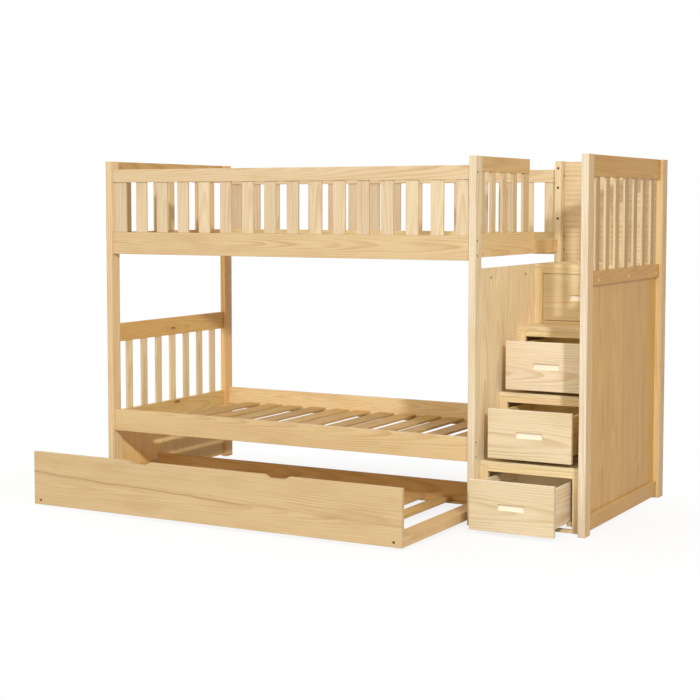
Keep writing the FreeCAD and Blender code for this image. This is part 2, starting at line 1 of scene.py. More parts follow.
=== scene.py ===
import math
import bmesh
import bpy
from mathutils import Euler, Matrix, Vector


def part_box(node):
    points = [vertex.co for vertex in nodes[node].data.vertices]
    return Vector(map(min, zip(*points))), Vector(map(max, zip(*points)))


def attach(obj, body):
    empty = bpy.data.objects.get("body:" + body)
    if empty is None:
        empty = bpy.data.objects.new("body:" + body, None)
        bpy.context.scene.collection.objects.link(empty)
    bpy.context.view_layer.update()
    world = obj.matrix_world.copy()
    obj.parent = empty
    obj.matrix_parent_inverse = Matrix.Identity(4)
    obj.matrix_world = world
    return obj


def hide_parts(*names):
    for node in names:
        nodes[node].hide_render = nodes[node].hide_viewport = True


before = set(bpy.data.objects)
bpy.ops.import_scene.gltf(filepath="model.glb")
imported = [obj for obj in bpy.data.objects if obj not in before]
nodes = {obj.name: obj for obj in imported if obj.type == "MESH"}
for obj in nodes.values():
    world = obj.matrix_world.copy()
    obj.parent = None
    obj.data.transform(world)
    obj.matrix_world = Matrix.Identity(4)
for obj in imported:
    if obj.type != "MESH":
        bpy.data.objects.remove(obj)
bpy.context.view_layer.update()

scene = bpy.context.scene
print("bunk bed frame loaded,", len(nodes), "parts")


# Pine finish
pineLook = {
    "pale": (0.770, 0.615, 0.385),      # early wood, linear colour
    "dark": (0.560, 0.365, 0.160),      # late wood lines
    "knot": (0.230, 0.110, 0.040),
    "rawAndLit": (0.900, 0.830, 0.740),       # paler colour on faces that look up: painted light from above, partly fresh cut wood in the routed grips
    "streak": (0.330, 0.185, 0.065),
    "lineStrength": 0.64,
    "fibreStrength": 0.30,
    "cloudStrength": 0.42,              # slow darker patches
    "cloudFade": 0.93,
    "knotStrength": 0.85,
    "haloStrength": 0.30,               # amber wood round a knot
    "jointStrength": 0.35,              # lines between glued planks
    "boardShift": 0.17,                 # lightness change from board to board
    "hueShift": 0.010,
    "roughness": 0.47,
    "fibreRough": 0.14,
    "coat": 0.10,
    "coatRough": 0.32,
    "shine": 0.42,
    "knotPolish": -0.08,                # a knot is a little smoother
    "bump": 0.55,
    "bumpDepth": 0.00035,
    "lineRelief": -0.35,                # heights beside that of a fibre
    "knotRelief": 0.4,
    "jointRelief": -1.2,
    "upward": (0.25, 0.35),             # the tilt at which a face looks up and takes the painted light from above
    # the tilt at which a face looks toward +X and takes the painted side light or shade
    "sideways": (0.3, 0.8),
}
grain = {
    "ringPitch": 0.0085,                # metres between growth lines
    "lineRise": (0.25, 0.86),           # a line darkens slowly and ends at once
    "lineEnd": (1.0, 0.88),
    "lineFade": (0.30, 0.72, 0.25, 1.0),
    "pithAside": 0.11,                  # room for the pith from side to side
    "pithNear": 0.022,                  # its least depth under the face
    "pithDeeper": 0.08,                 # and how much deeper it may lie
    "slope": 0.006,                     # least slope of the cut along the trunk
    "steeper": 0.040,
    "wander": 0.024,                    # waves of the rings
    "roundKnot": 0.010,                 # how far a knot pushes them aside
    "slowWaves": (1.1, 5.0, 5.0),       # to a metre along, across and through
    "fibres": (5.0, 260.0, 260.0),
    "fibreEdge": (0.42, 0.72),
    "patchEdge": (0.52, 0.80),
    "knotCells": (2.1, 6.5, 0.6),
    "knotSize": 0.022,
    "knotLarger": 0.045,
    "knotEdge": (1.25, 0.75),
    "knotHalo": (6.0, 0.6),
    "jointEdge": (0.494, 0.5),
    "rollSpread": 17.31,                # set neighbouring seeds far apart
    "placeSpread": 31.7,
}
resin = {
    "core": 0.2,                        # share of the width that is full dark
    "stainWide": 4.5,
    "stain": 0.30,
    "fadeOver": 0.6,
    "strength": (0.22, 0.62),
}


def addNode(tree, kind, **values):
    node = tree.nodes.new(kind)
    for key, value in values.items():
        setattr(node, key, value)
    return node


def fillSocket(tree, socket, value):
    # a number or a colour is set, and another node's output is linked
    if isinstance(value, (int, float)):
        socket.default_value = value
    elif isinstance(value, tuple):
        socket.default_value = (*value, 1.0)
    elif value is not None:
        tree.links.new(value, socket)


def mathNode(tree, operation, *values):
    node = addNode(tree, "ShaderNodeMath", operation=operation)
    for slot, value in enumerate(values):
        fillSocket(tree, node.inputs[slot], value)
    return node.outputs[0]


def mixColour(tree, amount, first, second, blend="MIX"):
    node = addNode(tree, "ShaderNodeMix", data_type="RGBA", blend_type=blend)
    for slot, value in ((0, amount), (6, first), (7, second)):
        fillSocket(tree, node.inputs[slot], value)
    return node.outputs[2]


def vectorOf(tree, x, y, z):
    node = addNode(tree, "ShaderNodeCombineXYZ")
    for slot, value in enumerate((x, y, z)):
        fillSocket(tree, node.inputs[slot], value)
    return node.outputs[0]


def noise(tree, vector, scale, detail, rough=0.55):
    node = addNode(tree, "ShaderNodeTexNoise")
    node.inputs["Scale"].default_value = scale
    node.inputs["Detail"].default_value = detail
    node.inputs["Roughness"].default_value = rough
    tree.links.new(vector, node.inputs["Vector"])
    return node.outputs["Fac"]


def remap(tree, value, low, high, toLow=0.0, toHigh=1.0):
    node = addNode(tree, "ShaderNodeMapRange", interpolation_type="SMOOTHSTEP")
    for slot, number in enumerate((value, low, high, toLow, toHigh)):
        fillSocket(tree, node.inputs[slot], number)
    return node.outputs[0]


def stretched(tree, place, stretch, shifts):
    return vectorOf(tree, *[mathNode(tree, "MULTIPLY_ADD", value, scale, shift)
                            for value, scale, shift in zip(place, stretch, shifts)])


def bumpOf(tree, height, strength, depth, shader):
    bump = addNode(tree, "ShaderNodeBump")
    bump.inputs["Strength"].default_value = strength
    bump.inputs["Distance"].default_value = depth
    tree.links.new(height, bump.inputs["Height"])
    tree.links.new(bump.outputs[0], shader.inputs["Normal"])


def boardPlace(tree, order, middle, seed):
    # the board's own number, and the place along, across and through it
    split = addNode(tree, "ShaderNodeSeparateXYZ")
    if order is None:
        spot = addNode(tree, "ShaderNodeAttribute", attribute_name="grainSpot")
        tree.links.new(spot.outputs["Vector"], split.inputs[0])
        seeds = [addNode(tree, "ShaderNodeAttribute", attribute_name=label).outputs["Fac"]
                 for label in ("boardSeed", "rowSeed")]
        return mathNode(tree, "ADD", mathNode(tree, "ADD", *seeds), seed), list(split.outputs)
    coords = addNode(tree, "ShaderNodeTexCoord")
    tree.links.new(coords.outputs["Object"], split.inputs[0])
    place = [mathNode(tree, "SUBTRACT", split.outputs[axis], middle[axis]) for axis in order]
    return mathNode(tree, "ADD", seed, 0.0), place


def gluedPlanks(tree, own, across, planks):
    # each glued plank gets its own number and its own middle, and a fine joint line
    shifted = mathNode(tree, "DIVIDE", across, planks)
    jump = addNode(tree, "ShaderNodeTexWhiteNoise", noise_dimensions="1D")
    tree.links.new(mathNode(tree, "FLOOR", shifted), jump.inputs["W"])
    offset = mathNode(tree, "SUBTRACT", mathNode(tree, "FRACT", shifted), 0.5)
    joint = remap(tree, mathNode(tree, "ABSOLUTE", offset), *grain["jointEdge"])
    own = mathNode(tree, "ADD", own, jump.outputs["Value"])
    return own, mathNode(tree, "MULTIPLY", offset, planks), joint


def knotField(tree, place, shift, aside, share):
    # the dark middle of each knot, and the wide soft zone round it
    cells = addNode(tree, "ShaderNodeTexVoronoi")
    cells.inputs["Scale"].default_value = 1.0
    tree.links.new(stretched(tree, place, grain["knotCells"], (shift, aside, 0.0)), cells.inputs["Vector"])
    chance = addNode(tree, "ShaderNodeSeparateColor")
    tree.links.new(cells.outputs["Color"], chance.inputs[0])
    chosen = mathNode(tree, "GREATER_THAN", chance.outputs[0], 1.0 - share)
    size = mathNode(tree, "MULTIPLY_ADD", chance.outputs[1], grain["knotLarger"], grain["knotSize"])
    reach = mathNode(tree, "DIVIDE", cells.outputs["Distance"], size)
    core = mathNode(tree, "MULTIPLY", remap(tree, reach, *grain["knotEdge"]), chosen)
    halo = mathNode(tree, "MULTIPLY", remap(tree, reach, *grain["knotHalo"]), chosen)
    return core, halo


def ringLines(tree, place, slow, chances, halo, rings):
    # the board is a cut through growth rings round a pith that runs beside it
    along, across, through = place
    aside = mathNode(tree, "MULTIPLY", mathNode(tree, "SUBTRACT", chances[0], 0.5), grain["pithAside"])
    aside = mathNode(tree, "ADD", across, aside)
    deep = mathNode(tree, "MULTIPLY_ADD", chances[1], grain["pithDeeper"], grain["pithNear"])
    slope = mathNode(tree, "MULTIPLY_ADD", chances[2], grain["steeper"], grain["slope"])
    deep = mathNode(tree, "ADD", mathNode(tree, "ADD", through, deep),
                    mathNode(tree, "MULTIPLY", along, slope))
    radius = mathNode(tree, "SQRT", mathNode(tree, "ADD", mathNode(tree, "MULTIPLY", aside, aside),
                                             mathNode(tree, "MULTIPLY", deep, deep)))
    wander = mathNode(tree, "SUBTRACT", noise(tree, slow, 1.3, 2.0), 0.5)
    for push, amount in ((wander, grain["wander"]), (halo, grain["roundKnot"])):
        radius = mathNode(tree, "ADD", radius, mathNode(tree, "MULTIPLY", push, amount))
    ring = mathNode(tree, "FRACT", mathNode(tree, "DIVIDE", radius, grain["ringPitch"] * rings))
    line = mathNode(tree, "MULTIPLY", remap(tree, ring, *grain["lineRise"]),
                    remap(tree, ring, *grain["lineEnd"]))
    fade = remap(tree, noise(tree, slow, 3.1, 2.0), *grain["lineFade"])
    return mathNode(tree, "MULTIPLY", line, fade)


def resinStreak(tree, colour, along, across, streak):
    # one dark resin line that wanders along the board, with a soft stain round it
    wave = noise(tree, vectorOf(tree, along, 0.3, 0.7), 2.4, 2.0)
    bend = mathNode(tree, "MULTIPLY", mathNode(tree, "SUBTRACT", wave, 0.5), streak["bend"])
    course = mathNode(tree, "MULTIPLY_ADD", along, streak["slope"], streak["height"])
    course = mathNode(tree, "ADD", course, bend)
    off = mathNode(tree, "ABSOLUTE", mathNode(tree, "SUBTRACT", across, course))
    mark = remap(tree, off, streak["width"], streak["width"] * resin["core"])
    stain = remap(tree, off, streak["width"] * resin["stainWide"], 0.0, 0.0, resin["stain"])
    strong = remap(tree, along, streak["end"], streak["end"] - resin["fadeOver"], *resin["strength"])
    mark = mathNode(tree, "MULTIPLY", mathNode(tree, "MAXIMUM", mark, stain), strong)
    return mixColour(tree, mark, colour, pineLook["streak"])


def pineFinish(name, order=None, middle=(0, 0, 0), seed=0.0, planks=0.0, tint=(1, 1, 1), paintedSideLight=None,
               knots=0.35, lines=1.0, rings=1.0, gloss=1.0, streak=None, rawAndLitUp=False):
    # order: the axes along, across and through a board that reads Object coordinates
    look = pineLook
    material = bpy.data.materials.new(name)
    material.use_nodes = True
    tree = material.node_tree
    tree.nodes.clear()
    link = tree.links.new
    shader = addNode(tree, "ShaderNodeBsdfPrincipled")
    link(shader.outputs[0], addNode(tree, "ShaderNodeOutputMaterial").inputs[0])

    own, place = boardPlace(tree, order, middle, seed)
    joint = None
    if planks:
        own, place[1], joint = gluedPlanks(tree, own, place[1], planks)

    # every board takes its growth rings from another part of the trunk
    roll = addNode(tree, "ShaderNodeTexWhiteNoise", noise_dimensions="1D")
    link(mathNode(tree, "MULTIPLY", own, grain["rollSpread"]), roll.inputs["W"])
    rollSplit = addNode(tree, "ShaderNodeSeparateColor")
    link(roll.outputs["Color"], rollSplit.inputs[0])
    chances = list(rollSplit.outputs)
    shift = mathNode(tree, "MULTIPLY", own, grain["placeSpread"])

    slow = stretched(tree, place, grain["slowWaves"], (shift, shift, 0.0))
    knotCore, knotHalo = knotField(tree, place, shift, chances[0], knots)
    line = ringLines(tree, place, slow, chances, knotHalo, rings)
    fibre = noise(tree, stretched(tree, place, grain["fibres"], (shift, 0.0, 0.0)), 1.0, 3.0, 0.6)
    cloud = remap(tree, noise(tree, slow, 2.2, 3.0), *grain["patchEdge"])

    dark = tuple(c * t for c, t in zip(look["dark"], tint))
    pale = tuple(c * t for c, t in zip(look["pale"], tint))
    dusk = tuple(c * look["cloudFade"] + 0.02 for c in dark)
    colour = pale
    for amount, strength, other in (
            (line, look["lineStrength"] * lines, dark),
            (remap(tree, fibre, *grain["fibreEdge"]), look["fibreStrength"], dark),
            (cloud, look["cloudStrength"], dusk),
            (knotHalo, look["haloStrength"], dark),
            (knotCore, look["knotStrength"], look["knot"])):
        colour = mixColour(tree, mathNode(tree, "MULTIPLY", amount, strength), colour, other)
    if streak:
        colour = resinStreak(tree, colour, place[0], place[1], streak)
    hue = addNode(tree, "ShaderNodeHueSaturation")
    for socket, chance, swing, centre in (("Hue", chances[1], look["hueShift"], 0.5),
                                          ("Value", chances[2], look["boardShift"], 1.0)):
        link(mathNode(tree, "MULTIPLY_ADD", mathNode(tree, "SUBTRACT", chance, 0.5), swing, centre),
             hue.inputs[socket])
    link(colour, hue.inputs["Color"])
    colour = hue.outputs[0]
    if joint is not None:
        colour = mixColour(tree, mathNode(tree, "MULTIPLY", joint, look["jointStrength"]), colour, dark)
    facing = addNode(tree, "ShaderNodeSeparateXYZ")
    link(addNode(tree, "ShaderNodeNewGeometry").outputs["True Normal"], facing.inputs[0])
    # faces that look up, such as the grips and top edges of the drawer fronts, turn paler: painted light
    # from above, partly raw routed wood
    if rawAndLitUp:
        colour = mixColour(tree, remap(tree, facing.outputs[2], *look["upward"]), colour, look["rawAndLit"])
    # painted light and shade: faces that look toward +X are made lighter or darker by the side tint, for
    # how the light falls on that side
    if paintedSideLight:
        colour = mixColour(tree, remap(tree, facing.outputs[0], *look["sideways"]), colour,
                           mixColour(tree, 1.0, colour, paintedSideLight, "MULTIPLY"))
    link(colour, shader.inputs["Base Color"])

    smoothest = look["roughness"] - look["fibreRough"] / 2
    rough = mathNode(tree, "MULTIPLY_ADD", fibre, look["fibreRough"], smoothest)
    link(mathNode(tree, "MULTIPLY_ADD", knotCore, look["knotPolish"], rough), shader.inputs["Roughness"])
    height = mathNode(tree, "MULTIPLY_ADD", line, look["lineRelief"], fibre)
    height = mathNode(tree, "MULTIPLY_ADD", knotCore, look["knotRelief"], height)
    if joint is not None:
        height = mathNode(tree, "MULTIPLY_ADD", joint, look["jointRelief"], height)
    bumpOf(tree, height, look["bump"], look["bumpDepth"], shader)
    shader.inputs["Coat Weight"].default_value = look["coat"] * gloss
    shader.inputs["Coat Roughness"].default_value = look["coatRough"]
    shader.inputs["Specular IOR Level"].default_value = look["shine"] * gloss
    return material


specks = {"edge": (0.45, 0.75), "darker": 0.45, "rough": 0.22, "roughBelow": 0.1, "bump": 0.3,
          "bumpDepth": 0.0002}


def plainFinish(name, colour, metal, rough, grit, scale):
    # metal or plastic with fine specks, scale of them to a metre
    material = bpy.data.materials.new(name)
    material.use_nodes = True
    tree = material.node_tree
    shader = tree.nodes["Principled BSDF"]
    coords = addNode(tree, "ShaderNodeTexCoord")
    speck = noise(tree, coords.outputs["Object"], scale, 3.0)
    shade = mixColour(tree, mathNode(tree, "MULTIPLY", remap(tree, speck, *specks["edge"]), grit),
                      colour, tuple(c * specks["darker"] for c in colour))
    tree.links.new(shade, shader.inputs["Base Color"])
    tree.links.new(mathNode(tree, "MULTIPLY_ADD", speck, specks["rough"], rough - specks["roughBelow"]),
                   shader.inputs["Roughness"])
    bumpOf(tree, speck, specks["bump"], specks["bumpDepth"], shader)
    shader.inputs["Metallic"].default_value = metal
    return material


# Boards that stay as cut
cadBoards = {
    "X": ["side_rail_front_lower", "side_rail_front_upper", "side_rail_rear_lower", "side_rail_rear_upper",
          "guard_front_top_rail", "guard_rear_top_rail", "trundle_rear", "trundle_ledgers", "slat_ledgers",
          "stair_landing", "rear_guard_board", *["drawer_%d_front" % number for number in range(1, 5)],
          "trundle_front"],
    "Y": ["left_top_rail", "left_upper_rail", "left_head_rail", "left_deck_rail", "left_base_rail",
          "middle_guard_top_rail", "middle_guard_lower_rail", "right_top_rail", "right_middle_rail",
          "right_bottom_rail", "trundle_end_rails", "drawer_runners",
          *["drawer_%d_box" % number for number in range(1, 5)]],
    "Z": ["post_left_front", "post_left_rear", "post_middle_front", "post_middle_rear", "post_right_front",
          "post_right_rear", "middle_panel", "right_panel", "left_base_panel", "stair_back_panel"],
}
# tints set board by board: each board's own tone, and on several boards painted light or shade, as noted
boardTweaks = {
    # front
    "post_middle_front": {"tint": (1.10, 1.20, 1.64), "paintedSideLight": (1.14, 1.15, 1.08)},
    "post_middle_rear": {"tint": (0.98, 1.02, 1.20)},
    "side_rail_front_upper": {"knots": 0.5, "lines": 1.1, "tint": (0.90, 0.88, 0.90)},
    "guard_front_top_rail": {"tint": (0.90, 0.90, 1.03)},
    "guard_rear_top_rail": {"tint": (0.95, 0.97, 1.10)},
    "side_rail_front_lower": {"tint": (0.95, 0.92, 0.88)},
    "side_rail_rear_lower": {"tint": (1.10, 1.12, 1.10)},
    # left end
    "post_left_front": {"tint": (1.02, 1.02, 1.10), "paintedSideLight": (1.12, 1.10, 1.02)},
    "post_left_rear": {"tint": (1.04, 0.88, 0.63)},
    "left_top_rail": {"tint": (0.93, 0.86, 0.76), "paintedSideLight": (0.88, 0.76, 0.60)},
    "left_upper_rail": {"tint": (0.97, 0.92, 0.82), "paintedSideLight": (0.93, 0.85, 0.76)},
    "left_head_rail": {"knots": 0.6, "tint": (0.97, 0.90, 0.76), "paintedSideLight": (0.97, 0.86, 0.54)},
    "left_deck_rail": {"tint": (0.97, 0.92, 0.80), "paintedSideLight": (0.98, 0.92, 0.72)},
    "left_base_panel": {"planks": 0.238, "tint": (1.00, 0.95, 0.85), "paintedSideLight": (1.27, 1.25, 1.04)},
    "left_base_rail": {"tint": (1.00, 0.93, 0.80), "paintedSideLight": (1.00, 0.91, 0.75)},
    # stair side, where the side tint paints shade on the outer faces of the end frame
    "middle_guard_top_rail": {"tint": (1.03, 0.90, 0.72)},
    "middle_guard_lower_rail": {"tint": (1.09, 1.07, 1.00)},
    # tint raised as painted light in the stair niche
    "middle_panel": {"planks": 0.19, "knots": 0.10, "tint": (1.23, 1.34, 1.60)},
    "rear_guard_board": {"lines": 0.9, "rings": 2.6, "tint": (1.02, 1.04, 1.16)},
    "stair_back_panel": {"planks": 0.239, "knots": 0.05, "tint": (1.00, 0.97, 0.92)},
    # tint raised as painted light in the stair niche
    "stair_landing": {"tint": (1.18, 1.24, 1.36)},
    "post_right_front": {"tint": (1.01, 1.12, 1.60), "paintedSideLight": (0.95, 0.78, 0.47)},
    "post_right_rear": {"tint": (0.93, 0.88, 0.80), "paintedSideLight": (0.89, 0.86, 0.75)},
    "right_panel": {"planks": 0.136, "knots": 0.12, "tint": (1.05, 1.00, 0.95),
                    "paintedSideLight": (0.87, 0.69, 0.33)},
    "right_top_rail": {"tint": (0.96, 0.88, 0.74), "paintedSideLight": (0.89, 0.70, 0.25)},
    "right_middle_rail": {"tint": (0.96, 0.88, 0.74), "paintedSideLight": (0.79, 0.58, 0.20)},
    "right_bottom_rail": {"tint": (0.96, 0.88, 0.74), "paintedSideLight": (0.91, 0.73, 0.34)},
    # drawers
    # the pale side of the open bottom drawer's box is partly painted light, as if the strobe fell on it;
    # the other boxes stay darker
    "drawer_1_box": {"knots": 0.1, "tint": (1.24, 1.38, 1.78)},
    "drawer_1_front": {"knots": 0.12, "rawAndLitUp": True, "tint": (1.06, 1.13, 1.40)},
    "drawer_2_front": {"knots": 0.12, "lines": 1.15, "rawAndLitUp": True, "tint": (1.06, 1.13, 1.40)},
    "drawer_3_front": {"knots": 0.12, "rawAndLitUp": True, "tint": (1.04, 1.13, 1.46)},
    "drawer_4_front": {"knots": 0.12, "rawAndLitUp": True, "tint": (1.18, 1.26, 1.38)},
    # trundle
    # trundle_rear and trundle_ledgers are darkened and warmed as painted shade under the bed
    "trundle_rear": {"tint": (0.80, 0.59, 0.38)},
    "trundle_ledgers": {"tint": (0.80, 0.63, 0.46)},
    "trundle_end_rails": {"tint": (0.95, 0.86, 0.72)},
    "trundle_front": {"lines": 0.9, "knots": 0.25, "tint": (0.86, 0.83, 0.84),
                      "streak": {"height": -0.005, "slope": -0.030, "bend": 0.055, "width": 0.0045,
                                 "end": 0.5}},
}
for number in (2, 3, 4):
    boardTweaks["drawer_%d_box" % number] = {"knots": 0.1, "tint": (1.20, 1.22, 1.15)}


def giveMaterial(thing, material):
    thing.data.materials.clear()
    thing.data.materials.append(material)


def axesOf(node, along):
    # along the grain, across the face, through the thickness
    low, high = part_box(node)
    first = "XYZ".index(along)
    rest = [axis for axis in range(3) if axis != first]
    rest.sort(key=lambda axis: high[axis] - low[axis], reverse=True)
    return (first, rest[0], rest[1]), tuple((low[a] + high[a]) / 2 for a in range(3))


boardSeed = {"first": 0.11, "step": 0.379}
seedCount = 0
for along, names in cadBoards.items():
    for name in names:
        seedCount += 1
        order, middle = axesOf(name, along)
        finish = pineFinish("pine_" + name, order, middle, **boardTweaks.get(name, {}),
                            seed=seedCount * boardSeed["step"] + boardSeed["first"])
        giveMaterial(nodes[name], finish)
print("pine on", seedCount, "boards kept from the frame")

slatPine = pineFinish("pine_slats", seed=0.37, knots=0.22, tint=(0.96, 1.00, 1.24),
                      paintedSideLight=(1.03, 1.01, 0.84))
leftPine = pineFinish("pine_slats_left", seed=0.29, knots=0.22, tint=(0.98, 1.01, 1.18),
                      paintedSideLight=(1.14, 1.16, 1.04))
rightPine = pineFinish("pine_slats_right", seed=0.45, knots=0.22, tint=(0.98, 1.01, 1.18),
                       paintedSideLight=(0.69, 0.56, 0.32))
# the deck slats' tint is darker and warmer, partly painted shade under the upper bunk
deckPine = pineFinish("pine_deck_slats", seed=0.81, knots=0.42, gloss=0.2, tint=(0.90, 0.78, 0.55))
# the stair frames and treads get tints raised as painted light in the stair niche
stairPine = pineFinish("pine_stair_frames", seed=0.53, knots=0.15, tint=(1.15, 1.18, 1.22))
treadPine = pineFinish("pine_treads", seed=0.67, knots=0.2, tint=(1.20, 1.28, 1.45))
bronze = {"colour": (0.30, 0.185, 0.085), "metal": 0.35}
boltBronze = plainFinish("bolt_bronze", bronze["colour"], bronze["metal"], 0.42, 0.5, 240)
screwSteel = plainFinish("screw_steel", (0.62, 0.58, 0.50), 1.0, 0.34, 0.3, 400)
capFinish = plainFinish("pale_caps", (0.84, 0.76, 0.62), 0.0, 0.42, 0.15, 300)
socketShade = plainFinish("socket_shade", (0.15, 0.09, 0.045), 0.3, 0.5, 0.2, 300)
bracketSteel = plainFinish("bracket_steel", (0.55, 0.55, 0.56), 1.0, 0.38, 0.35, 160)
wheelRubber = plainFinish("wheel_rubber", (0.045, 0.045, 0.048), 0.0, 0.62, 0.35, 220)
hubPlastic = plainFinish("hub_plastic", (0.30, 0.30, 0.31), 0.0, 0.45, 0.2, 220)
giveMaterial(nodes["screw_caps"], capFinish)
giveMaterial(nodes["frame_bolts"], boltBronze)
giveMaterial(nodes["trundle_fittings"], bracketSteel)


# one finish on one side of a plane, another on the other side
def splitFinish(material, axis, place, colour):
    tree = material.node_tree
    spot = addNode(tree, "ShaderNodeSeparateXYZ")
    tree.links.new(addNode(tree, "ShaderNodeTexCoord").outputs["Object"], spot.inputs[0])
    shader = tree.nodes["Principled BSDF"]
    own = shader.inputs["Base Color"].links[0].from_socket
    beyond = mathNode(tree, "GREATER_THAN", spot.outputs[axis], place)
    tree.links.new(mixColour(tree, beyond, colour, own), shader.inputs["Base Color"])
    return beyond


splits = {"capsX": 1.0, "capBrown": (0.26, 0.155, 0.07), "fittingsY": -0.83}
splitFinish(capFinish, 0, splits["capsX"], splits["capBrown"])      # brown caps on the middle panel
# and bronze bolt heads in the trundle's front board
steelShare = splitFinish(bracketSteel, 1, splits["fittingsY"], bronze["colour"])
steelTree = bracketSteel.node_tree
steelTree.links.new(
    mathNode(steelTree, "MULTIPLY_ADD", steelShare, 1 - bronze["metal"], bronze["metal"]),
    steelTree.nodes["Principled BSDF"].inputs["Metallic"])


# Boards made here
def keepMesh(name, bm, material):
    mesh = bpy.data.meshes.new(name)
    bm.normal_update()
    bm.to_mesh(mesh)
    bm.free()
    if material:
        mesh.materials.append(material)
    thing = bpy.data.objects.new(name, mesh)
    scene.collection.objects.link(thing)
    return thing


def boardObject(name, boards, material):
    # each board: low corner, size, grain axis, eased edge, seed
    bm = bmesh.new()
    spotLayer = bm.verts.layers.float_vector.new("grainSpot")
    seedLayer = bm.verts.layers.float.new("boardSeed")
    for low, size, along, ease, seed in boards:
        made = bmesh.ops.create_cube(bm, size=1.0)["verts"]
        middle = Vector([low[a] + size[a] / 2 for a in range(3)])
        for vert in made:
            vert.co = Vector([vert.co[a] * size[a] for a in range(3)]) + middle
        edges = list({edge for vert in made for edge in vert.link_edges})
        done = bmesh.ops.bevel(bm, geom=edges, offset=ease, segments=2, profile=0.5, affect="EDGES")
        first = "XYZ".index(along)
        rest = sorted([a for a in range(3) if a != first], key=lambda a: size[a], reverse=True)
        grown = {vert for face in done["faces"] for vert in face.verts}
        for vert in grown:
            offset = vert.co - middle
            vert[spotLayer] = (offset[first], offset[rest[0]], offset[rest[1]])
            vert[seedLayer] = seed
    return keepMesh(name, bm, material)


def sizeOf(node):
    low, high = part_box(node)
    return Vector(low), Vector(high), Vector(high) - Vector(low)


# Geometry nodes: an even row of one thing
def openTree(name, sockets):
    tree = bpy.data.node_groups.new(name, "GeometryNodeTree")
    ids = {}
    for label, kind in [("Geometry", "NodeSocketGeometry")] + sockets:
        ids[label] = tree.interface.new_socket(label, in_out="INPUT", socket_type=kind).identifier
    tree.interface.new_socket("Geometry", in_out="OUTPUT", socket_type="NodeSocketGeometry")
    return tree, ids


def finishTree(tree, geometry, inlet):
    link = tree.links.new
    seeded = addNode(tree, "GeometryNodeStoreNamedAttribute", data_type="FLOAT", domain="INSTANCE")
    seeded.inputs["Name"].default_value = "rowSeed"
    chance = addNode(tree, "FunctionNodeRandomValue", data_type="FLOAT")
    link(inlet.outputs["Seed"], chance.inputs["Seed"])
    link(geometry, seeded.inputs["Geometry"])
    link(chance.outputs["Value"], seeded.inputs["Value"])
    real = addNode(tree, "GeometryNodeRealizeInstances")
    link(seeded.outputs[0], real.inputs[0])
    coat = addNode(tree, "GeometryNodeSetMaterial")
    link(real.outputs[0], coat.inputs["Geometry"])
    link(inlet.outputs["Finish"], coat.inputs["Material"])
    outlet = addNode(tree, "NodeGroupOutput")
    link(coat.outputs[0], outlet.inputs[0])


def makeRowTree():
    tree, ids = openTree("even_row", [
        ("Thing", "NodeSocketObject"), ("Count", "NodeSocketInt"), ("Start", "NodeSocketVector"),
        ("Step", "NodeSocketVector"), ("Seed", "NodeSocketInt"), ("Finish", "NodeSocketMaterial")])
    link = tree.links.new
    inlet = addNode(tree, "NodeGroupInput")
    line = addNode(tree, "GeometryNodeMeshLine", mode="OFFSET")
    thing = addNode(tree, "GeometryNodeObjectInfo")
    copies = addNode(tree, "GeometryNodeInstanceOnPoints")
    link(inlet.outputs["Count"], line.inputs["Count"])
    link(inlet.outputs["Start"], line.inputs["Start Location"])
    link(inlet.outputs["Step"], line.inputs["Offset"])
    link(inlet.outputs["Thing"], thing.inputs["Object"])
    link(line.outputs[0], copies.inputs["Points"])
    link(thing.outputs["Geometry"], copies.inputs["Instance"])
    finishTree(tree, copies.outputs[0], inlet)
    return tree, ids


# Geometry nodes: one thing at each of a list of places, turned to its surface
def makeSpotTree():
    tree, ids = openTree("at_places", [
        ("Thing", "NodeSocketObject"), ("Seed", "NodeSocketInt"), ("Spin", "NodeSocketFloat"),
        ("Finish", "NodeSocketMaterial")])
    link = tree.links.new
    inlet = addNode(tree, "NodeGroupInput")
    thing = addNode(tree, "GeometryNodeObjectInfo")
    copies = addNode(tree, "GeometryNodeInstanceOnPoints")
    turn = addNode(tree, "GeometryNodeInputNamedAttribute", data_type="FLOAT_VECTOR")
    turn.inputs["Name"].default_value = "turn"
    asTurn = addNode(tree, "FunctionNodeEulerToRotation")
    spin = addNode(tree, "FunctionNodeRandomValue", data_type="FLOAT")
    spinTurn = addNode(tree, "FunctionNodeAxisAngleToRotation")
    both = addNode(tree, "FunctionNodeRotateRotation", rotation_space="LOCAL")
    link(inlet.outputs["Spin"], spin.inputs["Max"])
    link(inlet.outputs["Seed"], spin.inputs["Seed"])
    link(spin.outputs["Value"], spinTurn.inputs["Angle"])
    link(turn.outputs[0], asTurn.inputs[0])
    link(asTurn.outputs[0], both.inputs[0])
    link(spinTurn.outputs[0], both.inputs[1])
    link(inlet.outputs["Thing"], thing.inputs["Object"])
    link(inlet.outputs["Geometry"], copies.inputs["Points"])
    link(thing.outputs["Geometry"], copies.inputs["Instance"])
    link(both.outputs[0], copies.inputs["Rotation"])
    finishTree(tree, copies.outputs[0], inlet)
    return tree, ids


rowTree, rowIds = makeRowTree()
spotTree, spotIds = makeSpotTree()


def growPiece(name, host, tree, ids, values):
    modifier = host.modifiers.new("grow", "NODES")
    modifier.node_group = tree
    for label, value in values.items():
        modifier[ids[label]] = value
    graph = bpy.context.evaluated_depsgraph_get()
    mesh = bpy.data.meshes.new_from_object(host.evaluated_get(graph))
    mesh.name = name
    mesh.materials.clear()
    mesh.materials.append(values["Finish"])
    piece = bpy.data.objects.new(name, mesh)
    scene.collection.objects.link(piece)
    host.modifiers.remove(modifier)
    bpy.data.objects.remove(host)
    bpy.data.objects.remove(values["Thing"])
    return piece


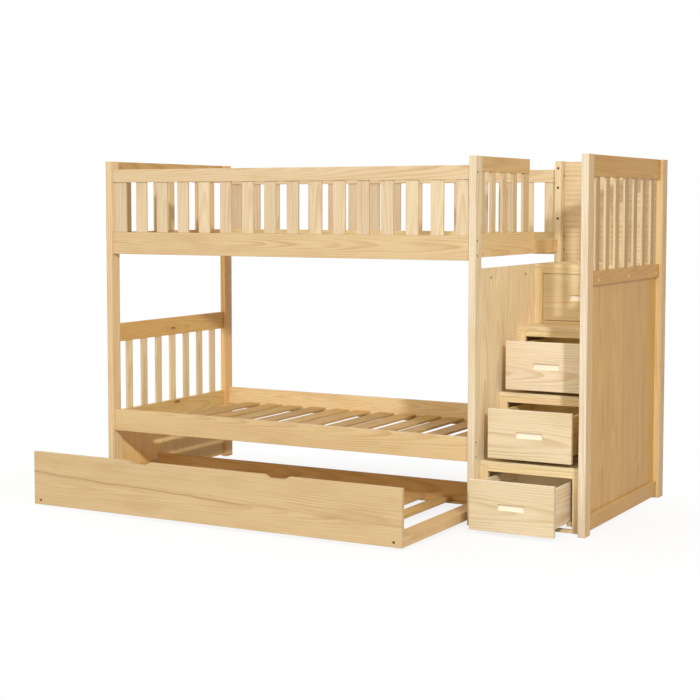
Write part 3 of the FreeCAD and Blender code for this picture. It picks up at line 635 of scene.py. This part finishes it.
def rowOf(name, thing, count, start, step, seed, finish):
    host = bpy.data.objects.new(name + "_host", bpy.data.meshes.new(name + "_host"))
    scene.collection.objects.link(host)
    values = {"Thing": thing, "Count": count, "Start": start, "Step": step, "Seed": seed, "Finish": finish}
    return growPiece(name, host, rowTree, rowIds, values)


def atPlaces(name, thing, places, seed, finish, spin=0.0):
    # each place: position, turn as three angles
    mesh = bpy.data.meshes.new(name + "_host")
    mesh.from_pydata([place[0] for place in places], [], [])
    turns = mesh.attributes.new("turn", "FLOAT_VECTOR", "POINT")
    for item, place in zip(turns.data, places):
        item.vector = place[1]
    host = bpy.data.objects.new(name + "_host", mesh)
    scene.collection.objects.link(host)
    values = {"Thing": thing, "Seed": seed, "Spin": spin, "Finish": finish}
    return growPiece(name, host, spotTree, spotIds, values)


def joinInto(piece, extras):
    bm = bmesh.new()
    for thing in [piece] + extras:
        bm.from_mesh(thing.data)
    bm.to_mesh(piece.data)
    bm.free()
    for thing in extras:
        bpy.data.objects.remove(thing)
    return piece


# Slat rows: guards, end frames, decks and trundle
slatRows = {
    "guard_front_slats": {"run": "X", "grain": "Z", "count": 14, "wide": 0.063, "stiles": (0.080, 0.068)},
    "guard_rear_slats": {"run": "X", "grain": "Z", "count": 14, "wide": 0.063, "stiles": (0.080, 0.068)},
    "middle_guard_slats": {"run": "Y", "grain": "Z", "count": 3, "wide": 0.048, "stiles": (0.070, 0.070)},
    "left_upper_slats": {"run": "Y", "grain": "Z", "count": 7, "wide": 0.048, "finish": leftPine},
    "left_lower_slats": {"run": "Y", "grain": "Z", "count": 7, "wide": 0.048, "finish": leftPine},
    "right_slats": {"run": "Y", "grain": "Z", "count": 7, "wide": 0.048, "finish": rightPine},
    "trundle_slats": {"run": "X", "grain": "Y", "count": 11, "wide": 0.064, "finish": deckPine},
}
slatEase = 0.0022
seeds = {"rows": 11, "lowerDeck": 31, "upperDeck": 33, "frames": 41, "treads": 45, "lowerScrews": 3,
         "upperScrews": 4, "trundleScrews": 5, "sockets": 7, "staples": 9}
slatPlaces = {}
for number, (node, row) in enumerate(slatRows.items()):
    low, high, size = sizeOf(node)
    run = "XYZ".index(row["run"])
    finish = row.get("finish", slatPine)
    slatSize = Vector(size)
    slatSize[run] = row["wide"]
    start = Vector(low)
    stiles = row.get("stiles")
    extras = []
    if stiles:
        gap = (size[run] - sum(stiles) - row["count"] * row["wide"]) / (row["count"] + 1)
        start[run] += stiles[0] + gap
        pitch = row["wide"] + gap
        for wide, at in ((stiles[0], low[run]), (stiles[1], high[run] - stiles[1])):
            corner = Vector(low)
            corner[run] = at
            stileSize = Vector(slatSize)
            stileSize[run] = wide
            stile = (corner, stileSize, "Z", slatEase, wide * 7 + at)
            extras.append(boardObject(node + "_stile", [stile], finish))
    else:
        pitch = (size[run] - row["wide"]) / (row["count"] - 1)
    step = Vector((0, 0, 0))
    step[run] = pitch
    slatPlaces[node] = ([tuple(start + step * count) for count in range(row["count"])], slatSize)
    slat = boardObject(node + "_one", [(Vector((0, 0, 0)), slatSize, row["grain"], slatEase, 0.5)], finish)
    piece = rowOf(node + "_pine", slat, row["count"], start, step, seeds["rows"] + number,
                  finish)
    joinInto(piece, extras)
    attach(piece, "trundle" if node.startswith("trundle") else "frame")
    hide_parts(node)
print("slat rows made:", len(slatRows))

# Deck slats, which lie a few nudges off their even pitch
deck = {"wide": 0.088, "nudge": 0.009, "steps": (1, 2, 1, 2, 3, 2, 3, 2, 3, 2, 3, 4, 3)}
for node, seed in (("bed_slats_lower", seeds["lowerDeck"]), ("bed_slats_upper", seeds["upperDeck"])):
    low, high, size = sizeOf(node)
    slatSize = Vector((deck["wide"], size[1], size[2]))
    last = len(deck["steps"]) - 1
    start = low[0] - deck["nudge"] * deck["steps"][0]
    pitch = (high[0] - deck["wide"] - deck["nudge"] * deck["steps"][-1] - start) / last
    places = [((start + pitch * count + deck["nudge"] * steps, low[1], low[2]), (0, 0, 0))
              for count, steps in enumerate(deck["steps"])]
    slat = boardObject(node + "_one", [(Vector((0, 0, 0)), slatSize, "Y", slatEase, 0.5)], deckPine)
    piece = atPlaces(node + "_pine", slat, places, seed, deckPine)
    slatPlaces[node] = ([place[0] for place in places], slatSize)
    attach(piece, "frame")
    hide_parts(node)
print("decks laid")

# Stair: face frames and treads
stairFrame = {"rise": 0.28125, "run": 0.209, "thick": 0.020, "stile": 0.039, "topRail": 0.025,
              "bottomRail": 0.015, "tread": 0.020, "ease": 0.0015, "treadEase": 0.003, "steps": 4}
low, high, size = sizeOf("stair_frames")
oneFrame = []
openWide = size[0] - stairFrame["stile"] * 2
frameTall = stairFrame["rise"] - stairFrame["tread"]
for at, wide, base, tall, grain in (
        (0, stairFrame["stile"], 0, frameTall, "Z"),
        (size[0] - stairFrame["stile"], stairFrame["stile"], 0, frameTall, "Z"),
        (stairFrame["stile"], openWide, 0, stairFrame["bottomRail"], "X"),
        (stairFrame["stile"], openWide, frameTall - stairFrame["topRail"], stairFrame["topRail"], "X")):
    oneFrame.append((Vector((at, 0, base)), Vector((wide, stairFrame["thick"], tall)), grain,
                     stairFrame["ease"], 0.2 + at))
frames = boardObject("stair_frame_one", oneFrame, stairPine)
stairStep = Vector((0, stairFrame["run"], stairFrame["rise"]))
stairFrames = rowOf("stair_frames_pine", frames, stairFrame["steps"], Vector(low), stairStep,
                    seeds["frames"], stairPine)
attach(stairFrames, "frame")
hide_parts("stair_frames")

low, high, size = sizeOf("stair_treads")
treadSize = Vector((size[0], stairFrame["run"] + stairFrame["thick"], stairFrame["tread"]))
tread = boardObject("stair_tread_one", [(Vector((0, 0, 0)), treadSize, "X", stairFrame["treadEase"], 0.4)],
                    treadPine)
treads = rowOf("stair_treads_pine", tread, stairFrame["steps"] - 1, Vector(low), stairStep,
               seeds["treads"], treadPine)
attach(treads, "frame")
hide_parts("stair_treads")
print("stair frames and treads made")


# Small hardware
def ringOf(bm, radius, z, sides):
    angles = [2 * math.pi * i / sides for i in range(sides)]
    return [bm.verts.new((radius * math.cos(angle), radius * math.sin(angle), z)) for angle in angles]


def wallOf(bm, lower, upper):
    for i in range(len(lower)):
        j = (i + 1) % len(lower)
        bm.faces.new((lower[i], lower[j], upper[j], upper[i]))


def collarOf(bm, outer, inner):
    # the flat ring between a round rim and an opening with fewer corners
    per = len(outer) // len(inner)
    for i in range(len(inner)):
        arc = [outer[(i * per + k) % len(outer)] for k in range(per + 1)]
        bm.faces.new(arc + [inner[(i + 1) % len(inner)], inner[i]])


def closeHead(name, bm, base, floorOf):
    bm.faces.new(floorOf)
    bm.faces.new(list(reversed(base)))
    bmesh.ops.recalc_face_normals(bm, faces=bm.faces)
    return keepMesh(name, bm, None)


def discHead(name, shape):
    # a low screw head with a cross recess, standing on z = 0
    bm = bmesh.new()
    radius, tall = shape["radius"], shape["tall"]
    loops = [ringOf(bm, radius * wide, tall * high, shape["sides"])
             for wide, high in shape["crown"]]
    for lower, upper in zip(loops, loops[1:]):
        wallOf(bm, lower, upper)
    # the cross is a sunk star of eight corners in the top
    star = []
    floorStar = []
    for i in range(8):
        angle = math.pi / 4 * i
        reach = shape["cross"] if i % 2 == 0 else shape["cross"] * shape["waist"]
        x, y = reach * math.cos(angle), reach * math.sin(angle)
        star.append(bm.verts.new((x, y, tall)))
        floorStar.append(bm.verts.new((x * shape["taper"], y * shape["taper"], tall - shape["deep"])))
    collarOf(bm, loops[-1], star)
    wallOf(bm, star, floorStar)
    return closeHead(name, bm, loops[0], floorStar)


def socketHead(name, shape):
    # a flat bolt face with a six sided socket
    bm = bmesh.new()
    base = ringOf(bm, shape["radius"], 0, shape["sides"])
    rim = ringOf(bm, shape["radius"] * shape["crown"], shape["tall"], shape["sides"])
    mouth = ringOf(bm, shape["hex"], shape["tall"], 6)
    bottom = ringOf(bm, shape["hex"], shape["tall"] - shape["deep"], 6)
    wallOf(bm, base, rim)
    collarOf(bm, rim, mouth)
    wallOf(bm, mouth, bottom)
    return closeHead(name, bm, base, bottom)


screwSize = {"radius": 0.0042, "tall": 0.0012, "sides": 16, "cross": 0.0022, "deep": 0.0008,
             "crown": ((1.0, 0.0), (0.97, 0.55), (0.80, 0.92)), "waist": 0.32, "taper": 0.6,
             "inEnd": 0.011, "inSide": 0.020}


def slatScrews(name, node, body, seed):
    corners, size = slatPlaces[node]
    spots = []
    for side in (screwSize["inSide"], size[0] - screwSize["inSide"]):
        for end in (screwSize["inEnd"], size[1] - screwSize["inEnd"]):
            for x, y, z in corners:
                spots.append(((x + side, y + end, z + size[2]), (0, 0, 0)))
    head = discHead(name + "_one", screwSize)
    piece = atPlaces(name, head, spots, seed, screwSteel, math.pi / 2)
    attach(piece, body)


slatScrews("screws_lower_deck", "bed_slats_lower", "frame", seeds["lowerScrews"])
slatScrews("screws_upper_deck", "bed_slats_upper", "frame", seeds["upperScrews"])
slatScrews("screws_trundle", "trundle_slats", "trundle", seeds["trundleScrews"])

# Hexagon sockets on the sunk bolts of the posts and the trundle front
boltPlaces = {
    "corner": (-1.25425, -0.235),       # outer corner of the left front post
    "postRows": (0.0215, 1.0605),
    "railHeights": (1.54325, 1.181, 1.2465, 0.300, 0.3655),
    "leftFace": 0.0020,
    "middleFace": 1.9955,
    "guardPost": (1.981, 1.019),
    "guardHeights": (1.335, 1.485, 1.580),
    "trundleColumns": (0.04275 + 0.0375, 1.95475 - 0.0375),
    "trundleFace": 0.610,
    "trundleHigh": 0.037,
}
socketSize = {"radius": 0.0045, "tall": 0.0010, "sides": 24, "crown": 0.93, "hex": 0.0027,
              "deep": 0.0009}
boltSpots = {"frame": [], "trundle": []}
cornerX, cornerY = boltPlaces["corner"]
toLeft = (0, -math.pi / 2, 0)
toRight = (0, math.pi / 2, 0)
toFront = (math.pi / 2, 0, 0)
for y in boltPlaces["postRows"]:
    for z in boltPlaces["railHeights"]:
        boltSpots["frame"].append(((cornerX + boltPlaces["leftFace"], cornerY + y, z), toLeft))
        boltSpots["frame"].append(((cornerX + boltPlaces["middleFace"], cornerY + y, z), toRight))
guardX, guardY = boltPlaces["guardPost"]
for z in boltPlaces["guardHeights"]:
    boltSpots["frame"].append(((cornerX + guardX, cornerY + guardY, z), toFront))
for x in boltPlaces["trundleColumns"]:
    spot = (cornerX + x, cornerY - boltPlaces["trundleFace"], boltPlaces["trundleHigh"])
    boltSpots["trundle"].append((spot, toFront))
for body, spots in boltSpots.items():
    head = socketHead("socket_one", socketSize)
    piece = atPlaces("bolt_sockets_" + body, head, spots, seeds["sockets"], socketShade)
    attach(piece, body)

# Staples round the thin back panel of the stair
backLow, backHigh, backSize = sizeOf("stair_back_panel")
stapleSize = {"wide": 0.010, "thick": 0.0012, "proud": 0.0006, "ease": 0.0002, "pitch": 0.11,
              "inset": 0.012, "askew": 0.3}
bm = bmesh.new()
made = bmesh.ops.create_cube(bm, size=1.0)["verts"]
for vert in made:
    vert.co = Vector((vert.co.x * stapleSize["wide"], vert.co.y * stapleSize["thick"],
                      (vert.co.z + 0.5) * stapleSize["proud"]))
bmesh.ops.bevel(bm, geom=list(bm.edges), offset=stapleSize["ease"], segments=1, affect="EDGES")
staple = keepMesh("staple_one", bm, None)
spots = []
tall = backSize[2] - stapleSize["inset"] * 2
count = int(tall / stapleSize["pitch"])
for i in range(count + 1):
    z = backLow[2] + stapleSize["inset"] + tall * i / count
    for x in (backLow[0] + stapleSize["inset"], backHigh[0] - stapleSize["inset"]):
        spots.append(((x, backHigh[1], z), (-math.pi / 2, 0, 0)))
staples = atPlaces("back_panel_staples", staple, spots, seeds["staples"], screwSteel, stapleSize["askew"])
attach(staples, "frame")

# Trundle wheels: a rubber tyre on a ribbed hub, bored for its axle
wheelSize = {"radius": 0.022, "bore": 0.00406, "wide": 0.018, "hubRadius": 0.0135, "dish": 0.0035,
             "edge": 0.001, "bevel": 0.0012, "shoulder": 0.003, "groove": 0.0008, "grooveDeep": 0.0006,
             "collar": 0.003, "collarFoot": 0.0045, "hubLip": 0.002, "tyreSides": 56, "hubSides": 40,
             "ribs": 6, "ribThick": 0.0016, "ribStart": 0.004, "ribShort": 0.0055, "ribInset": 0.002}


def bothSides(left):
    # a profile of (distance along the axle, radius) and its mirror image
    return left + [(-x, r) for x, r in reversed(left)]


def latheX(name, profile, centre, sides, material):
    # turns a closed profile about an axle that runs along X
    bm = bmesh.new()
    rings = []
    for i in range(sides):
        angle = 2 * math.pi * i / sides
        rings.append([bm.verts.new((centre[0] + x, centre[1] + r * math.cos(angle),
                                    centre[2] + r * math.sin(angle))) for x, r in profile])
    for i in range(sides):
        wallOf(bm, rings[i], rings[(i + 1) % sides])
    bmesh.ops.recalc_face_normals(bm, faces=bm.faces)
    return keepMesh(name, bm, material)


side = wheelSize["wide"] / 2
rim = wheelSize["radius"]
hubRim = wheelSize["hubRadius"]
bore = wheelSize["bore"]
edge = wheelSize["edge"]
groove = wheelSize["groove"]
dishFloor = wheelSize["dish"] - side
shoulder = wheelSize["shoulder"]
tyreProfile = bothSides([(edge - side, hubRim), (-side, hubRim + edge), (-side, rim - shoulder),
                         (wheelSize["bevel"] - side, rim - edge), (shoulder - side, rim),
                         (-groove, rim), (-groove / 2, rim - wheelSize["grooveDeep"])])
hubProfile = bothSides([(-side, bore), (-side, bore + wheelSize["collar"]),
                        (dishFloor, bore + wheelSize["collarFoot"]),
                        (dishFloor, hubRim - wheelSize["hubLip"]), (edge - side, hubRim)])
for number in range(1, 5):
    node = "wheel_%d" % number
    low, high, size = sizeOf(node)
    centre = (low + high) / 2
    tyre = latheX(node + "_tyre", tyreProfile, centre, wheelSize["tyreSides"], wheelRubber)
    tyre.data.shade_smooth()
    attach(tyre, node)
    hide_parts(node)
    hub = latheX(node + "_hub", hubProfile, centre, wheelSize["hubSides"], hubPlastic)
    bm = bmesh.new()
    for i in range(wheelSize["ribs"]):
        angle = 2 * math.pi * i / wheelSize["ribs"]
        made = bmesh.ops.create_cube(bm, size=1.0)["verts"]
        for vert in made:
            outward = (vert.co.y + 0.5) * (hubRim - bore - wheelSize["ribShort"])
            flat = Vector((vert.co.x * (wheelSize["wide"] - wheelSize["ribInset"]),
                           bore + wheelSize["ribStart"] + outward, vert.co.z * wheelSize["ribThick"]))
            flat.rotate(Euler((angle, 0, 0)))
            vert.co = flat + centre
    joinInto(hub, [keepMesh(node + "_ribs", bm, hubPlastic)])
    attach(hub, node)
print("hardware made")


# Studio
studio = {
    "keyPlace": (3.82, -4.09, 2.91),    # a small strobe to the right of the camera, read from the shadows
    "keyAim": (0.3, 0.2, 0.8),
    "keySize": 0.26,
    "keyPower": 122.0,
    "keyReach": 5.2,                    # metres at which the power counts
    "keyColour": (1.0, 1.0, 0.97),
    "ambient": 0.31,                    # soft warm light from everywhere
    "ambientColour": (1.0, 0.81, 0.55),
    "softbox": 1.10,                    # and a large softbox to the left of the camera
    "softboxColour": (1.0, 0.99, 0.81),
    "softboxToward": (-0.40, -0.80, 0.45),
    "floorBounce": (0.62, 0.57, 0.48),
    "floorSeen": (0.95, 0.95, 0.95),
    "floorSize": 40.0,
    "floorBelow": 0.0005,
    "floorRough": 0.9,
    "floorShine": 0.1,
    "shadowDepth": 0.16,                # how much of the floor's shadow shows
    "shadowFull": 0.5,                  # metres from the middle, and where it has faded out
    "shadowReach": 1.35,
    "shadowShape": (0.55, 1.0, 0.0),    # longer along the bed than across it
}


def seenRays(tree):
    # one for the rays of the camera, of gloss and of glass
    rays = addNode(tree, "ShaderNodeLightPath")
    seen = mathNode(tree, "MAXIMUM", rays.outputs["Is Camera Ray"], rays.outputs["Is Glossy Ray"])
    return mathNode(tree, "MAXIMUM", seen, rays.outputs["Is Transmission Ray"])


floorBm = bmesh.new()
half = studio["floorSize"] / 2
floorBm.faces.new([floorBm.verts.new((x, y, -studio["floorBelow"])) for x, y in
                   ((-half, -half), (half, -half), (half, half), (-half, half))])
floorMaterial = bpy.data.materials.new("studio_floor")
floorMaterial.use_nodes = True
tree = floorMaterial.node_tree
shader = tree.nodes["Principled BSDF"]
shader.inputs["Roughness"].default_value = studio["floorRough"]
shader.inputs["Specular IOR Level"].default_value = studio["floorShine"]
seen = seenRays(tree)
floorColour = mixColour(tree, seen, studio["floorBounce"], studio["floorSeen"])
tree.links.new(floorColour, shader.inputs["Base Color"])
# white to the eye, with a faint shadow that fades out away from the bed
away = addNode(tree, "ShaderNodeVectorMath", operation="LENGTH")
spot = addNode(tree, "ShaderNodeVectorMath", operation="MULTIPLY")
spot.inputs[1].default_value = studio["shadowShape"]
tree.links.new(addNode(tree, "ShaderNodeTexCoord").outputs["Object"], spot.inputs[0])
tree.links.new(spot.outputs[0], away.inputs[0])
shadow = remap(tree, away.outputs["Value"], studio["shadowReach"], studio["shadowFull"],
               0.0, studio["shadowDepth"])
glow = addNode(tree, "ShaderNodeEmission")
glow.inputs["Color"].default_value = (1, 1, 1, 1)
glow.inputs["Strength"].default_value = 1.0
both = addNode(tree, "ShaderNodeMixShader")
tree.links.new(mathNode(tree, "MULTIPLY", seen, mathNode(tree, "SUBTRACT", 1.0, shadow)), both.inputs[0])
tree.links.new(shader.outputs[0], both.inputs[1])
tree.links.new(glow.outputs[0], both.inputs[2])
tree.links.new(both.outputs[0], tree.nodes["Material Output"].inputs[0])
floor = keepMesh("studio_floor", floorBm, floorMaterial)

world = bpy.data.worlds.new("studio")
scene.world = world
world.use_nodes = True
tree = world.node_tree
tree.nodes.clear()
seen = seenRays(tree)
lightSide = addNode(tree, "ShaderNodeBackground")
skyward = addNode(tree, "ShaderNodeTexCoord")
facing = addNode(tree, "ShaderNodeVectorMath", operation="DOT_PRODUCT")
facing.inputs[1].default_value = Vector(studio["softboxToward"]).normalized()
tree.links.new(skyward.outputs["Generated"], facing.inputs[0])
toward = mathNode(tree, "MAXIMUM", facing.outputs["Value"], 0.0)
warm = tuple(value * studio["ambient"] for value in studio["ambientColour"])
full = tuple(value + studio["softbox"] * more for value, more in zip(warm, studio["softboxColour"]))
tree.links.new(mixColour(tree, toward, warm, full), lightSide.inputs["Color"])
whiteSide = addNode(tree, "ShaderNodeBackground")
whiteSide.inputs["Color"].default_value = (1, 1, 1, 1)
whiteSide.inputs["Strength"].default_value = 1.0
blend = addNode(tree, "ShaderNodeMixShader")
tree.links.new(seen, blend.inputs[0])
tree.links.new(lightSide.outputs[0], blend.inputs[1])
tree.links.new(whiteSide.outputs[0], blend.inputs[2])
outlet = addNode(tree, "ShaderNodeOutputWorld")
tree.links.new(blend.outputs[0], outlet.inputs[0])

keyData = bpy.data.lights.new("studio_key", "AREA")
keyData.shape = "DISK"
keyData.size = studio["keySize"]
keyData.energy = studio["keyPower"]
keyData.color = studio["keyColour"]
keyData.use_nodes = True
tree = keyData.node_tree
steady = addNode(tree, "ShaderNodeLightFalloff")     # as strong at the far end as at the near one
steady.inputs["Strength"].default_value = studio["keyReach"] ** -2
tree.links.new(steady.outputs["Constant"], tree.nodes["Emission"].inputs["Strength"])
key = bpy.data.objects.new("studio_key", keyData)
key.location = studio["keyPlace"]
key.rotation_euler = (Vector(studio["keyAim"]) - key.location).to_track_quat("-Z", "Y").to_euler()
scene.collection.objects.link(key)

view = {"place": (3.45125, -6.29360, 1.40760), "yaw": 29.219, "down": 4.103, "lens": 78.63,
        "shiftX": 0.0171, "shiftY": -0.0524}
cameraData = bpy.data.cameras.new("photo_view")
cameraData.lens = view["lens"]
cameraData.sensor_width = 36.0
cameraData.sensor_fit = "HORIZONTAL"
cameraData.shift_x = view["shiftX"]
cameraData.shift_y = view["shiftY"]
cameraData.clip_end = 200
camera = bpy.data.objects.new("photo_view", cameraData)
camera.location = view["place"]
camera.rotation_euler = (math.radians(90 - view["down"]), 0, math.radians(view["yaw"]))
scene.collection.objects.link(camera)
scene.camera = camera
scene.view_settings.view_transform = "Standard"
print("studio and camera set")
